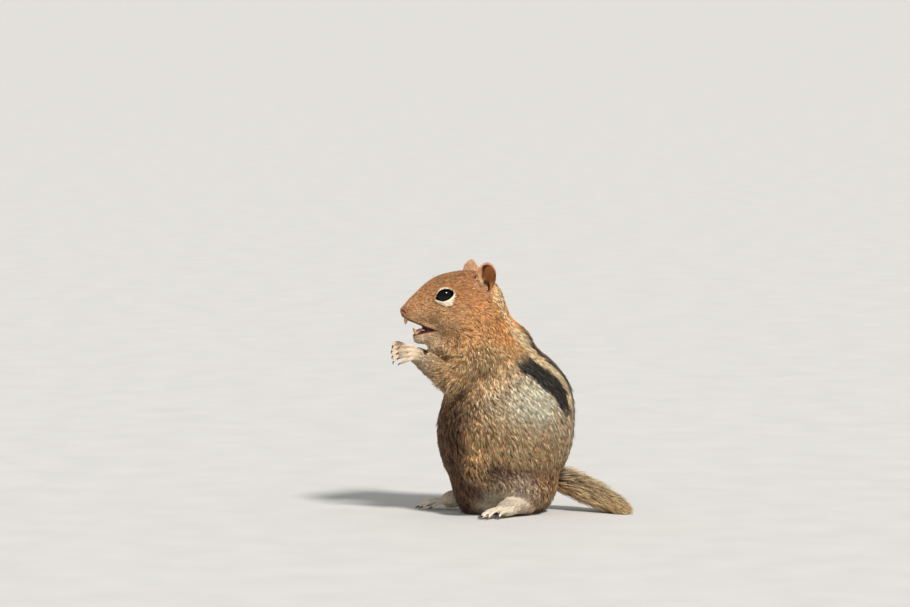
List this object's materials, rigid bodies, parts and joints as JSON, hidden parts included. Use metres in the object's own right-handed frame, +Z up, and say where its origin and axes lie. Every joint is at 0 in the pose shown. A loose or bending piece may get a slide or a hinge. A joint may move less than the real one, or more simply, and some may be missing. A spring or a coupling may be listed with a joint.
{
  "type": "golden-mantled ground squirrel",
  "caption": "Life-size ground squirrel sitting upright with its hands raised to its open mouth, a still display model.",
  "frame": {"origin": "centre of the bounding box on the plane that the animal rests on", "axes": "+Z up, -X the way the animal faces, +Y its right side"},
  "size_m": [0.1266, 0.07, 0.1368],
  "materials": {
    "coat": "short dense fur, golden head and mantle, grizzled flanks, black and cream stripes",
    "pale_coat": "very short cream fur",
    "tail_coat": "long grizzled hair with a tan fringe",
    "ear": "thin skin with sparse fine hair",
    "eye": "wet gloss",
    "tooth": "semi-gloss enamel",
    "claw": "dark horn, semi-gloss",
    "tongue": "moist"
  },
  "bodies": {
    "root": {"haunch_left": "coat", "shank_left": "coat", "upper_arm_left": "coat", "haunch_right": "coat", "shank_right": "coat", "upper_arm_right": "coat", "abdomen": "coat", "chest": "coat", "neck": "coat", "eye_left": "eye", "eye_right": "eye", "head": "coat", "lower_jaw": "coat", "incisors_upper": "tooth", "incisors_lower": "tooth", "tongue": "tongue", "ear_left": "ear", "ear_right": "ear", "forearm_left": "coat", "hand_left": "pale_coat", "forearm_right": "coat", "hand_right": "pale_coat", "foot_left": "pale_coat", "foot_right": "pale_coat", "tail_base": "tail_coat", "tail": "tail_coat"}
  },
  "joints": []
}
